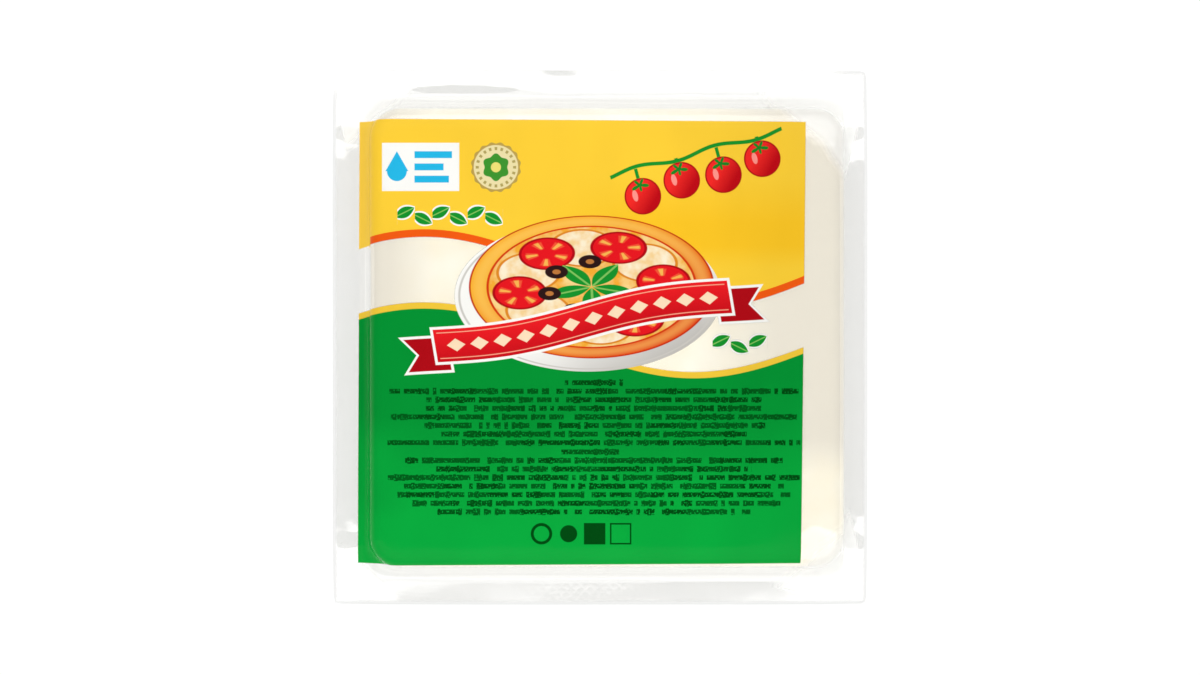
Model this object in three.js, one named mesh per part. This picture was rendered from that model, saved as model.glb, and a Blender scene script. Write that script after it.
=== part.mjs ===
// A square slab of soft white cheese, vacuum-packed between two clear films. The top film lies flat
// over the slab, the bottom film is formed to a pocket round it, and the two are sealed together in
// a thin rim that stands out all round at a little over half the slab's height.
//
// Millimetres, +Z up. The origin is under the middle of the rim, at the level the pack rests on,
// and +Y is the upper edge of the printed face. The pack is one closed solid: a profile is carried
// round the slab's rounded outline, ring by ring, from the middle of the top to that of the base.

import * as THREE from 'three';

// ---- Driving dimensions ----------------------------------------------------------------------

const RIM_SIDE = 142; // the rim is square, measured over its cut edges
const RIM_THICKNESS = 0.4; // both films, one on the other
const RIM_LEVEL = 15; // underside of the rim above the base
const SEAL_WIDTH = 6; // flat band where the films hold together
const RIM_SQUARENESS = 30; // exponent of the rim's corners: nearly sharp
const SEAL_SQUARENESS = 5; // the same where the films leave the rim

const SLAB_WIDTH = 125; // along X
const SLAB_DEPTH = 121; // along Y
const SLAB_SHIFT = 1.9; // the slab lies this far to the right of the rim's middle
const SLAB_CORNER_RADIUS = 8;
const ROUND = 2; // exponent of a circular corner

const PACK_HEIGHT = 26;
const TOP_CROWN = 0.5; // rise of the top from its edges to its middle
const CORNER_FALL = 0.8; // the top falls off by this much more at its right corners
const FALL_START = 1.5; // |share across| + |share along| where that begins; 2 is the corner
const TOP_EDGE_RADIUS = 4.5;
const BASE_EDGE_RADIUS = 5;
const POCKET_DRAFT = 0.8; // the formed pocket is this much smaller at its base, on each side
const LOWER_SWEEP_START = 8.5; // height at which the pocket's wall begins to flare to the rim

const ROLL_HEIGHT = 0.3; // long waves of the rim round the pack
const ROLL_COUNT = 3;
const ROLL_PHASE = 0.6;
const RIPPLE_HEIGHT = 0.2; // shorter ones between the slab and the cut edge
const RIPPLE_COUNT = 8;
const RIPPLE_PHASE = 3.9;
const BACK_DROOP = 0.6; // how far the rim's cut edge hangs behind the slab
const FRONT_DROOP = 0.5; // and before it
const CORNER_DROOP = 2; // and how much further at the rim's corners
const CORNER_SPREAD = 35; // |x| + |y| over which the corners' droop grows
const PLEAT_HEIGHT = 0.35; // folds of surplus film that fan out from the slab's corners
const PLEAT_COUNT = 3;

// ---- How finely the solid is divided -----------------------------------------------------------

const ARC_STEPS = 12; // steps round each corner
const SIDE_STEPS = 16; // steps along each side
const EDGE_RINGS = 4; // rings round the slab's top and bottom edges
const SWEEP_RINGS = 4; // rings down each flare of film
const RIM_RINGS = 2; // rings across the seal
const TOP_SCALES = [0.3, 0.6, 0.85]; // rings of the crowned top, as shares of its width

// ---- Sizes that follow from these --------------------------------------------------------------

const coreX = SLAB_WIDTH / 2 - SLAB_CORNER_RADIUS; // the corner arcs' centres, from the slab's middle
const coreY = SLAB_DEPTH / 2 - SLAB_CORNER_RADIUS;
const wallTop = PACK_HEIGHT - TOP_CROWN - TOP_EDGE_RADIUS;
const quarterTurn = Math.PI / 2;

// How far an outline reaches beyond the core, to the right, left, back and front.
const evenReach = (reach) => ({ right: reach, left: reach, back: reach, front: reach });
const rimReach = {
  right: RIM_SIDE / 2 - SLAB_SHIFT - coreX,
  left: RIM_SIDE / 2 + SLAB_SHIFT - coreX,
  back: RIM_SIDE / 2 - coreY,
  front: RIM_SIDE / 2 - coreY,
};
const mixReach = (from, to, share) => Object.fromEntries(
  Object.keys(from).map((side) => [side, THREE.MathUtils.lerp(from[side], to[side], share)]),
);
const slabReach = evenReach(SLAB_CORNER_RADIUS);
const footReach = Object.fromEntries(
  Object.entries(rimReach).map(([side, reach]) => [side, reach - SEAL_WIDTH]),
);

// ---- The way round the pack --------------------------------------------------------------------

// Each step has the point of the core it starts from, the bearing in which outlines lie from there,
// and `turn`, which runs from 0 to 1 round a corner and is 0 along a side.
function stepsRound() {
  const corners = [[1, 1], [-1, 1], [-1, -1], [1, -1]].map(
    ([x, y]) => new THREE.Vector2(SLAB_SHIFT + x * coreX, y * coreY),
  );
  const steps = [];
  corners.forEach((corner, index) => {
    for (let i = 0; i <= ARC_STEPS; i += 1) {
      const turn = i / ARC_STEPS;
      steps.push({ core: corner, bearing: (index + turn) * quarterTurn, turn });
    }
    const next = corners[(index + 1) % corners.length];
    for (let i = 1; i < SIDE_STEPS; i += 1) {
      const core = corner.clone().lerp(next, i / SIDE_STEPS);
      steps.push({ core, bearing: (index + 1) * quarterTurn, turn: 0 });
    }
  });
  return steps;
}

// The point of an outline on this step. The corner is a superellipse: a circle where the exponent
// is 2, and nearly a square one where it is large.
function outline(step, reach, squareness) {
  const x = Math.cos(step.bearing);
  const y = Math.sin(step.bearing);
  const stretch = (Math.abs(x) ** squareness + Math.abs(y) ** squareness) ** (-1 / squareness);
  return new THREE.Vector2(
    step.core.x + x * stretch * (x > 0 ? reach.right : reach.left),
    step.core.y + y * stretch * (y > 0 ? reach.back : reach.front),
  );
}

// ---- Relief ------------------------------------------------------------------------------------

// Level of the crowned top: a low cushion that falls to its edge on all four sides, and further at
// its two right corners.
function topLevel(point) {
  const across = (point.x - SLAB_SHIFT) / (SLAB_WIDTH / 2 - TOP_EDGE_RADIUS);
  const along = point.y / (SLAB_DEPTH / 2 - TOP_EDGE_RADIUS);
  const rise = Math.max(0, 1 - across ** 2) * Math.max(0, 1 - along ** 2);
  const near = (across + Math.abs(along) - FALL_START) / (2 - FALL_START);
  const fall = CORNER_FALL * THREE.MathUtils.clamp(near, 0, 1) ** 2;
  return PACK_HEIGHT - TOP_CROWN + TOP_CROWN * rise - fall;
}

// How far the film stands above the rim's level. The waves grow from the slab (outwards = 0) to the
// cut edge (outwards = 1), and the ripples and pleats are highest half-way between.
function rimRelief(step, point, outwards) {
  const around = Math.atan2(point.y, point.x);
  const roll = ROLL_HEIGHT * Math.sin(ROLL_COUNT * around + ROLL_PHASE) * outwards ** 2;
  const ripple = RIPPLE_HEIGHT * Math.sin(RIPPLE_COUNT * around + RIPPLE_PHASE);
  const pleat = PLEAT_HEIGHT * Math.sin(PLEAT_COUNT * Math.PI * step.turn) ** 2;
  return roll + (ripple + pleat) * 4 * outwards * (1 - outwards) - rimDroop(point);
}

// How far the film hangs: in a straight line behind the slab, in a parabola that levels out at the
// cut edge before it, and with the square of how near the point is to the rim's own corner.
function rimDroop(point) {
  const width = (RIM_SIDE - SLAB_DEPTH) / 2;
  const beyond = THREE.MathUtils.clamp((Math.abs(point.y) - SLAB_DEPTH / 2) / width, 0, 1);
  const side = point.y > 0 ? BACK_DROOP * beyond : FRONT_DROOP * beyond * (2 - beyond);
  const toCorner = RIM_SIDE - Math.abs(point.x) - Math.abs(point.y);
  return side + CORNER_DROOP * THREE.MathUtils.clamp(1 - toCorner / CORNER_SPREAD, 0, 1) ** 2;
}

// ---- Rings, from the middle of the top to the middle of the base -------------------------------

const steps = stepsRound();
const shares = (count, first = 0) => Array.from(
  { length: count + 1 - first },
  (_, index) => (index + first) / count,
);

function levelled(point, height) {
  return new THREE.Vector3(point.x, point.y, height);
}

// The crowned top, inside its rounded edge.
function topRing(scale) {
  const middle = new THREE.Vector2(SLAB_SHIFT, 0);
  const reach = evenReach(SLAB_CORNER_RADIUS - TOP_EDGE_RADIUS);
  return steps.map((step) => {
    const point = outline(step, reach, ROUND).sub(middle).multiplyScalar(scale).add(middle);
    return levelled(point, topLevel(point));
  });
}

// The slab's upper edge: a quarter round.
function topEdgeRing(share) {
  const angle = share * quarterTurn;
  const reach = evenReach(SLAB_CORNER_RADIUS - TOP_EDGE_RADIUS * (1 - Math.sin(angle)));
  return steps.map((step) => {
    const point = outline(step, reach, ROUND);
    return levelled(point, topLevel(point) - TOP_EDGE_RADIUS * (1 - Math.cos(angle)));
  });
}

// A flare between the slab's wall (share = 0) and the rim (share = 1): a quarter ellipse that
// leaves the wall upright and meets the rim level.
function sweepRing(share, wallLevel, rimSurface) {
  const angle = share * quarterTurn;
  const run = 1 - Math.cos(angle);
  const reach = mixReach(slabReach, footReach, run);
  const squareness = THREE.MathUtils.lerp(ROUND, SEAL_SQUARENESS, run);
  return steps.map((step) => {
    const point = outline(step, reach, squareness);
    const foot = rimSurface + rimRelief(step, point, run * footShare(step));
    return levelled(point, THREE.MathUtils.lerp(wallLevel, foot, Math.sin(angle)));
  });
}

// The seal, from where the films leave it (share = 0) to its cut edge (share = 1).
function sealRing(share, rimSurface) {
  const reach = mixReach(footReach, rimReach, share);
  const squareness = THREE.MathUtils.lerp(SEAL_SQUARENESS, RIM_SQUARENESS, share);
  return steps.map((step) => {
    const point = outline(step, reach, squareness);
    const outwards = THREE.MathUtils.lerp(footShare(step), 1, share);
    return levelled(point, rimSurface + rimRelief(step, point, outwards));
  });
}

// Where the seal begins on this step, as a share of the way from the slab's wall to the cut edge.
function footShare(step) {
  const wall = outline(step, slabReach, ROUND);
  const foot = outline(step, footReach, SEAL_SQUARENESS);
  const edge = outline(step, rimReach, RIM_SQUARENESS);
  return wall.distanceTo(foot) / wall.distanceTo(edge);
}

// The pocket's rounded lower edge, from the flat base (share = 0) to its wall (share = 1).
function baseEdgeRing(share) {
  const angle = share * quarterTurn;
  const inset = POCKET_DRAFT + BASE_EDGE_RADIUS * (1 - Math.sin(angle));
  const reach = evenReach(SLAB_CORNER_RADIUS - inset);
  const height = BASE_EDGE_RADIUS * (1 - Math.cos(angle));
  return steps.map((step) => levelled(outline(step, reach, ROUND), height));
}

function packRings() {
  const rimTop = RIM_LEVEL + RIM_THICKNESS;
  return [
    ...TOP_SCALES.map((scale) => topRing(scale)),
    ...shares(EDGE_RINGS).map((share) => topEdgeRing(share)),
    ...shares(SWEEP_RINGS, 1).map((share) => sweepRing(share, wallTop, rimTop)),
    ...shares(RIM_RINGS, 1).map((share) => sealRing(share, rimTop)),
    ...shares(RIM_RINGS, 1).reverse().map((share) => sealRing(share, RIM_LEVEL)),
    ...shares(SWEEP_RINGS).reverse().map((share) => sweepRing(share, LOWER_SWEEP_START, RIM_LEVEL)),
    ...shares(EDGE_RINGS).reverse().map((share) => baseEdgeRing(share)),
  ];
}

// ---- The solid ---------------------------------------------------------------------------------

// Joins each ring to the next with a band of triangles, and closes the first and last with a fan.
function closedSolid(rings, firstPole, lastPole) {
  const count = steps.length;
  const points = [...rings.flat(), firstPole, lastPole];
  const first = points.length - 2;
  const last = points.length - 1;
  const lastRing = (rings.length - 1) * count;
  const triangles = [];
  for (let i = 0; i < count; i += 1) {
    const next = (i + 1) % count;
    triangles.push(first, i, next);
    for (let ring = 0; ring < rings.length - 1; ring += 1) {
      const inner = ring * count;
      const outer = inner + count;
      triangles.push(inner + i, outer + i, outer + next);
      triangles.push(inner + i, outer + next, inner + next);
    }
    triangles.push(last, lastRing + next, lastRing + i);
  }
  const geometry = new THREE.BufferGeometry().setFromPoints(points);
  geometry.setIndex(triangles);
  geometry.computeVertexNormals();
  return geometry;
}

const sealedPack = new THREE.Mesh(
  closedSolid(
    packRings(),
    new THREE.Vector3(SLAB_SHIFT, 0, PACK_HEIGHT),
    new THREE.Vector3(SLAB_SHIFT, 0, 0),
  ),
  new THREE.MeshStandardMaterial({ color: 0xefe9d9, roughness: 0.25, metalness: 0 }),
);
sealedPack.name = 'sealed_pack';

const part = new THREE.Group();
part.add(sealedPack);

export default part;
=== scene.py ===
"""The looks of a square slab of soft white cheese, vacuum-packed between two films.

The top film is clear, with a square of print on its face: a yellow field, bare film and a green
field, and on them a dish, a ribbon and small plain marks. The bottom film is clear and formed to a
pocket, and both are sealed in a rim round the slab.

Every surface is a profile carried round the slab's rounded outline, worked out with numpy in
millimetres, and put into its mesh in metres. The three pieces stand for one solid.
"""

from math import floor, pi, radians, sqrt
from types import SimpleNamespace

import bpy
import numpy as np
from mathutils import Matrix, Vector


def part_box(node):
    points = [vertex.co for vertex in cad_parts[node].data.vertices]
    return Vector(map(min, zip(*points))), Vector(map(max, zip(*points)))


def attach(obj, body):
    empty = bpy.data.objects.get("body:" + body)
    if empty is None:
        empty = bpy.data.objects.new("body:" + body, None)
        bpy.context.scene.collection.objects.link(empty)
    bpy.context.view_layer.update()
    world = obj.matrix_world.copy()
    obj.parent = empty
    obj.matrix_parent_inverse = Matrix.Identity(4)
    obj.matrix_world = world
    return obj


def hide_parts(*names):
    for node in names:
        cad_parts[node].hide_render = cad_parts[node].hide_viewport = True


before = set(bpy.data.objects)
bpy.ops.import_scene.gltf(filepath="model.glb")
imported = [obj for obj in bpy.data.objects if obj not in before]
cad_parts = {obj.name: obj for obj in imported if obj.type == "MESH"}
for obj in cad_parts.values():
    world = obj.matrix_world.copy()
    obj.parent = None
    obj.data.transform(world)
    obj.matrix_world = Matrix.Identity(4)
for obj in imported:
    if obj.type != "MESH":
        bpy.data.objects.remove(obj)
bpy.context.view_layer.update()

MM = 0.001
pack_low, pack_high = (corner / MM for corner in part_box("sealed_pack"))

# ---- Sizes of the pack, in millimetres ----

RIM_SIDE = pack_high.x - pack_low.x
PACK_HEIGHT = pack_high.z - pack_low.z
RIM_THICKNESS = 0.4
RIM_LEVEL = 15.0
SEAL_WIDTH = 6.0
RIM_SQUARENESS = 30.0
SEAL_SQUARENESS = 5.0

SLAB_SIZE = np.array([125.0, 121.0])
SLAB_MIDDLE = np.array([1.9, 0.0])
SLAB_CORNER_RADIUS = 8.0
ROUND = 2.0

TOP_CROWN = 0.5
CORNER_FALL = 0.8
FALL_START = 1.5
TOP_EDGE_RADIUS = 4.5
BASE_EDGE_RADIUS = 5.0
POCKET_DRAFT = 0.8
LOWER_SWEEP_START = 8.5

ROLL_HEIGHT, ROLL_COUNT, ROLL_PHASE = 0.3, 3, 0.6
RIPPLE_HEIGHT, RIPPLE_COUNT, RIPPLE_PHASE = 0.2, 8, 3.9
BACK_DROOP, FRONT_DROOP = 0.6, 0.5
CORNER_DROOP, CORNER_SPREAD = 2.0, 35.0
PLEAT_HEIGHT, PLEAT_COUNT = 0.35, 3

TOP_FILM_THICKNESS = 0.12
BASE_FILM_THICKNESS = 0.2
FILM_TO_CHEESE = 0.06

CORE = SLAB_SIZE / 2 - SLAB_CORNER_RADIUS
WALL_TOP = PACK_HEIGHT - TOP_CROWN - TOP_EDGE_RADIUS
QUARTER_TURN = pi / 2

# How far an outline reaches beyond the core: to the right, left, back and front.
RIM_REACH = RIM_SIDE / 2 - np.array(
    [SLAB_MIDDLE[0] + CORE[0], CORE[0] - SLAB_MIDDLE[0], CORE[1], CORE[1]]
)
FOOT_REACH = RIM_REACH - SEAL_WIDTH


def even_reach(reach):
    """The same reach to all four sides, for each value in an array."""
    return np.repeat(np.atleast_1d(reach)[:, None], 4, axis=1)


SLAB_REACH = even_reach(SLAB_CORNER_RADIUS)[0]


# ---- Surfaces ----


def way_round(arc_steps, side_steps):
    """The way round the pack, anticlockwise from the right end of the back right corner. At each
    corner of the core the bearing turns a quarter; between two corners it stays, and the starting
    point moves straight from one to the next. `turn` runs from 0 to 1 round a corner."""
    corners = np.array([(1, 1), (-1, 1), (-1, -1), (1, -1)]) * CORE + SLAB_MIDDLE
    arc = np.linspace(0, 1, arc_steps + 1)
    side = np.linspace(0, 1, side_steps + 1)[1:-1]
    core, bearing, turn = [], [], []
    for index, corner in enumerate(corners):
        following = corners[(index + 1) % 4]
        core += [np.tile(corner, (len(arc), 1)), corner + side[:, None] * (following - corner)]
        bearing += [(index + arc) * QUARTER_TURN, np.full(len(side), (index + 1) * QUARTER_TURN)]
        turn += [arc, np.zeros(len(side))]
    return SimpleNamespace(
        core=np.concatenate(core), bearing=np.concatenate(bearing), turn=np.concatenate(turn)
    )


def outline(way, reach, squareness):
    """One outline for each row of `reach`: from the core, in the bearing's direction, by the reach
    to that side. Its corners are superellipses, whose exponent is the squareness."""
    x, y = np.cos(way.bearing), np.sin(way.bearing)
    power = np.broadcast_to(squareness, len(reach))[:, None]
    stretch = (np.abs(x) ** power + np.abs(y) ** power) ** (-1 / power)
    across = np.where(x > 0, reach[:, 0:1], reach[:, 1:2])
    along = np.where(y > 0, reach[:, 2:3], reach[:, 3:4])
    return way.core + np.stack((x * stretch * across, y * stretch * along), axis=-1)


def at_height(flat, height):
    """Points of the plan with their heights."""
    height = np.broadcast_to(height, flat.shape[:2])
    return np.concatenate((flat, height[..., None]), axis=-1)


def top_level(flat):
    """Height of the crowned top: a low cushion that falls to its edge on all four sides, as the
    product of two parabolas, and that falls off further, with a square, at its right corners."""
    share = (flat - SLAB_MIDDLE) / (SLAB_SIZE / 2 - TOP_EDGE_RADIUS)
    rise = np.prod(np.clip(1 - share**2, 0, None), axis=-1)
    near = (share[..., 0] + np.abs(share[..., 1]) - FALL_START) / (2 - FALL_START)
    fall = CORNER_FALL * np.clip(near, 0, 1) ** 2
    return PACK_HEIGHT - TOP_CROWN + TOP_CROWN * rise - fall


def top_face(way, scales, inset=0.0):
    """The crowned top inside its rounded edge: the inner outline scaled towards its middle."""
    rim = outline(way, even_reach(SLAB_CORNER_RADIUS - TOP_EDGE_RADIUS), ROUND)
    flat = SLAB_MIDDLE + (rim - SLAB_MIDDLE) * scales[:, None, None]
    return at_height(flat, top_level(flat) - inset)


def top_edge(way, shares, inset=0.0):
    """The slab's upper edge: a quarter round, from the top (0) to the wall (1)."""
    angle = shares * QUARTER_TURN
    radius = TOP_EDGE_RADIUS - inset
    reach = SLAB_CORNER_RADIUS - TOP_EDGE_RADIUS + radius * np.sin(angle)
    flat = outline(way, even_reach(reach), ROUND)
    return at_height(flat, top_level(flat) - inset - (radius * (1 - np.cos(angle)))[:, None])


def foot_share(way):
    """Where the seal begins, as a share of the way from the slab's wall to the cut edge."""
    wall = outline(way, SLAB_REACH[None], ROUND)[0]
    foot = outline(way, FOOT_REACH[None], SEAL_SQUARENESS)[0]
    edge = outline(way, RIM_REACH[None], RIM_SQUARENESS)[0]
    return np.linalg.norm(foot - wall, axis=-1) / np.linalg.norm(edge - wall, axis=-1)


def rim_relief(way, flat, outwards):
    """How far the film stands above the rim's level. It droops behind the slab in a straight line,
    before it in a parabola that levels out at the cut edge, and at the corners with the square of
    how near |x| + |y| comes to the rim's own corner. A slow wave in the bearing from the pack's
    middle grows with the square of `outwards`, which runs from the slab (0) to the cut edge (1), and
    ripples and the corners' pleats are highest half-way out."""
    around = np.arctan2(flat[..., 1], flat[..., 0])
    beyond = np.abs(flat[..., 1]) - SLAB_SIZE[1] / 2
    beyond = np.clip(beyond / (RIM_SIDE / 2 - SLAB_SIZE[1] / 2), 0, 1)
    droop = np.where(around > 0, BACK_DROOP * beyond, FRONT_DROOP * beyond * (2 - beyond))
    to_corner = RIM_SIDE - np.abs(flat).sum(axis=-1)
    droop = droop + CORNER_DROOP * np.clip(1 - to_corner / CORNER_SPREAD, 0, 1) ** 2
    roll = ROLL_HEIGHT * np.sin(ROLL_COUNT * around + ROLL_PHASE) * outwards**2
    ripple = RIPPLE_HEIGHT * np.sin(RIPPLE_COUNT * around + RIPPLE_PHASE)
    pleat = PLEAT_HEIGHT * np.sin(PLEAT_COUNT * pi * way.turn) ** 2
    return roll + (ripple + pleat) * 4 * outwards * (1 - outwards) - droop


def sweep(way, shares, wall_level, rim_surface):
    """The flare between the slab's wall (0) and the rim (1): a quarter ellipse that leaves the wall
    upright and meets the rim level."""
    angle = shares * QUARTER_TURN
    run = 1 - np.cos(angle)
    reach = SLAB_REACH + run[:, None] * (FOOT_REACH - SLAB_REACH)
    flat = outline(way, reach, ROUND + run * (SEAL_SQUARENESS - ROUND))
    foot = rim_surface + rim_relief(way, flat, run[:, None] * foot_share(way))
    return at_height(flat, wall_level + np.sin(angle)[:, None] * (foot - wall_level))


def seal(way, shares, rim_surface):
    """The seal, level but for the rim's relief, from where the films leave it (0) to its cut
    edge (1)."""
    reach = FOOT_REACH + shares[:, None] * (RIM_REACH - FOOT_REACH)
    flat = outline(way, reach, SEAL_SQUARENESS + shares * (RIM_SQUARENESS - SEAL_SQUARENESS))
    start = foot_share(way)
    return at_height(
        flat, rim_surface + rim_relief(way, flat, start + shares[:, None] * (1 - start))
    )


def base_edge(way, shares, inset=0.0):
    """The pocket's rounded lower edge, from the flat base (0) to its wall (1)."""
    angle = shares * QUARTER_TURN
    radius = BASE_EDGE_RADIUS - inset
    reach = SLAB_CORNER_RADIUS - POCKET_DRAFT - BASE_EDGE_RADIUS + radius * np.sin(angle)
    flat = outline(way, even_reach(reach), ROUND)
    return at_height(flat, (inset + radius * (1 - np.cos(angle)))[:, None])


def base_face(way, scales, inset=0.0):
    """The flat base inside its rounded edge."""
    rim = outline(way, even_reach(SLAB_CORNER_RADIUS - POCKET_DRAFT - BASE_EDGE_RADIUS), ROUND)
    return at_height(SLAB_MIDDLE + (rim - SLAB_MIDDLE) * scales[:, None, None], inset)


def offset(rings, distance):
    """The rings moved by `distance` along the surface's normal, which is the cross product of the
    directions to the next ring and to the next step round."""
    outwards = np.gradient(rings, axis=0)
    padded = np.concatenate((rings[:, -1:], rings, rings[:, :1]), axis=1)
    onwards = padded[:, 2:] - padded[:, :-2]
    normal = np.cross(outwards, onwards)
    return rings + distance * normal / np.linalg.norm(normal, axis=-1, keepdims=True)


# ---- Meshes ----

BAKE_MAP = "OFBake"
FACE_SHARE = 0.9  # of the map's width, for the outer face as seen from above
LINING_SHARE = 0.08  # for the lining, in the map's far corner
MAP_MARGIN = 0.01


def ring_mesh(name, rings, materials, lined_from=None):
    """A closed surface: each ring of points is joined to the next by a band of quads, and the first
    and the last are closed by a fan round their middle. The rings from `lined_from` on are the
    lining, and the narrow band before them has sharp edges. Returns the piece with a mask of its
    lining's faces."""
    count = rings.shape[1]
    poles = rings[[0, -1]].mean(axis=1)
    points = np.concatenate((rings.reshape(-1, 3), poles))
    step = np.arange(count)
    following = (step + 1) % count
    start = (np.arange(len(rings) - 1) * count)[:, None]
    bands = np.stack(
        (start + step, start + count + step, start + count + following, start + following), axis=-1
    )
    end = (len(rings) - 1) * count
    first_fan = np.stack((np.full(count, len(points) - 2), step, following), axis=-1)
    last_fan = np.stack((np.full(count, len(points) - 1), end + following, end + step), axis=-1)

    mesh = bpy.data.meshes.new(name)
    faces = first_fan.tolist() + bands.reshape(-1, 4).tolist() + last_fan.tolist()
    mesh.from_pydata((points * MM).tolist(), [], faces)
    mesh.shade_smooth()
    for material in materials:
        mesh.materials.append(material)
    lining = np.zeros(len(faces), bool)
    if lined_from:
        lining = np.arange(len(faces)) // count >= lined_from
        ring_of = read(mesh.edges, "vertices", 2, np.int32) // count
        sharp = (ring_of[:, 0] == ring_of[:, 1]) & np.isin(ring_of[:, 0] - lined_from, (-1, 0))
        mesh.attributes.new("sharp_edge", "BOOLEAN", "EDGE").data.foreach_set("value", sharp)
    mesh.update()
    piece = bpy.data.objects.new(name, mesh)
    bpy.context.scene.collection.objects.link(piece)
    return piece, lining


def read(items, name, width, kind=float):
    """One property of all of a mesh's items, a row for each."""
    values = np.empty(len(items) * width, kind)
    items.foreach_get(name, values)
    return values.reshape(-1, width)


def film_piece(name, outer, thickness, materials):
    """A film of even thickness: its outer face from the middle to the cut edge, then its lining
    back to the middle."""
    rings = np.concatenate((outer, offset(outer, -thickness)[::-1]))
    return ring_mesh(name, rings, materials, lined_from=len(outer))


def add_plan_map(piece, lining):
    """A map of the piece as it is seen from above: its outer face fills most of the map, and its
    lining lies small in the far corner."""
    mesh = piece.data
    corner = read(mesh.loops, "vertex_index", 1, np.int32)[:, 0]
    share = read(mesh.vertices, "co", 3)[corner, :2] / (RIM_SIDE * MM) + 0.5
    lined = np.repeat(lining, read(mesh.polygons, "loop_total", 1, np.int32)[:, 0])[:, None]
    uv = np.where(lined, 1 - MAP_MARGIN - share * LINING_SHARE, MAP_MARGIN + share * FACE_SHARE)
    mesh.uv_layers.new(name=BAKE_MAP).data.foreach_set("uv", uv.astype(np.float32).ravel())


def lay_out_print(piece, lining):
    """Gives the printed finish, which is the piece's first, to the faces under the print, and the
    clear one to the rest."""
    middle = read(piece.data.polygons, "center", 3)[:, :2] / MM
    low = np.array([PRINT_LEFT, PRINT_FRONT]) - PRINT_MARGIN
    high = np.array([PRINT_RIGHT, PRINT_BACK]) + PRINT_MARGIN
    printed = ((middle > low) & (middle < high)).all(axis=1) & ~lining
    piece.data.polygons.foreach_set("material_index", (~printed).astype(np.int32))


# ---- Materials ----


def operator(operation):
    """A method that adds a Math node of this kind, on the value and what follows it."""
    return lambda value, *others: value.math(operation, value, *others)


class Value:
    """What a node puts out. Python's operators on it add Math nodes."""

    def __init__(self, nodes, socket):
        self.nodes = nodes
        self.socket = socket

    def math(self, operation, *terms):
        """A Math node on the terms in their order."""
        return self.nodes.add("Math", {"operation": operation}, dict(enumerate(terms)))

    __add__ = __radd__ = operator("ADD")
    __sub__ = operator("SUBTRACT")
    __mul__ = __rmul__ = operator("MULTIPLY")
    __truediv__ = operator("DIVIDE")
    __pow__ = operator("POWER")
    __gt__ = operator("GREATER_THAN")
    __lt__ = operator("LESS_THAN")
    __and__ = operator("MINIMUM")
    __or__ = operator("MAXIMUM")
    __abs__ = operator("ABSOLUTE")
    __floor__ = operator("FLOOR")
    sin = operator("SINE")
    cos = operator("COSINE")

    def __rsub__(self, other):
        return self.math("SUBTRACT", other, self)

    def remap(self, low, high, to_low=0.0, to_high=1.0):
        """This value carried from one range to another, and held at its ends."""
        sockets = {"Value": self, "From Min": low, "From Max": high}
        sockets |= {"To Min": to_low, "To Max": to_high}
        return self.nodes.add("MapRange", {"clamp": True}, sockets)


class Nodes:
    """The nodes of a material or of the surroundings."""

    def __init__(self, tree):
        self.tree = tree
        tree.nodes.clear()

    def add(self, kind, settings=None, sockets=None, output=0):
        """Adds a node: its settings come first, then each socket gets its value or its link."""
        node = self.tree.nodes.new("ShaderNode" + kind)
        for name, value in (settings or {}).items():
            setattr(node, name, value)
        for key, value in (sockets or {}).items():
            if isinstance(value, Value):
                self.tree.links.new(value.socket, node.inputs[key])
            else:
                node.inputs[key].default_value = value
        return Value(self, node.outputs[output] if node.outputs else None)

    def place(self):
        """The point on the piece, in millimetres of the pack's frame."""
        return self.scaled(self.add("TexCoord", output="Object"), 1 / MM)

    def vector(self, x, y, z=0.0):
        """A vector made of its parts."""
        return self.add("CombineXYZ", sockets={"X": x, "Y": y, "Z": z})

    def parts(self, vector):
        """The three parts of a vector."""
        split = self.add("SeparateXYZ", sockets={"Vector": vector}).socket.node
        return [Value(self, part) for part in split.outputs]

    def seen_from(self, vector, middle, turn=0.0, scale=(1.0, 1.0)):
        """The vector as measured from `middle`, on axes turned by `turn` degrees, in steps of
        `scale`."""
        sockets = {"Vector": vector, "Location": (*middle, 0), "Scale": (*scale, 1)}
        sockets["Rotation"] = (0, 0, radians(turn))
        return self.add("Mapping", {"vector_type": "TEXTURE"}, sockets)

    def noise(self, vector, size, detail=2.0):
        """Noise from 0 to 1, with patches about `size` wide."""
        sockets = {"Vector": vector, "Scale": 1 / size, "Detail": detail}
        return self.add("TexNoise", sockets=sockets)

    def chance(self, x, y):
        """A random number from 0 to 1 for each pair of values."""
        sockets = {"Vector": self.vector(x, y)}
        return self.add("TexWhiteNoise", {"noise_dimensions": "2D"}, sockets)

    def mix(self, share, below, above):
        """A share of one colour over another."""
        return self.add("Mix", {"data_type": "RGBA"}, {0: share, 6: below, 7: above}, 2)

    def scaled(self, vector, factor):
        """A vector or a colour times a factor."""
        return self.add("VectorMath", {"operation": "SCALE"}, {0: vector, "Scale": factor})

    def bump(self, height):
        """The normal of relief that is `height` millimetres high."""
        return self.add("Bump", sockets={"Height": height, "Distance": MM})

    def blend(self, share, below, above):
        """A share of one shader over another."""
        return self.add("MixShader", sockets={0: share, 1: below, 2: above})


class Finish(Nodes):
    """A new material and its nodes."""

    def __init__(self, name):
        self.material = bpy.data.materials.new(name)
        self.material.use_nodes = True
        super().__init__(self.material.node_tree)

    def made(self, surface):
        """The finished material, with this shader on its surface."""
        self.add("OutputMaterial", sockets={"Surface": surface})
        return self.material


def length(x, y):
    """How long the vector (x, y) is."""
    sockets = {0: x.nodes.vector(x, y)}
    return x.nodes.add("VectorMath", {"operation": "LENGTH"}, sockets, "Value")


def bearing(x, y):
    """The direction of (x, y), in radians anticlockwise from the x axis."""
    return x.math("ARCTAN2", y, x)


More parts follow.
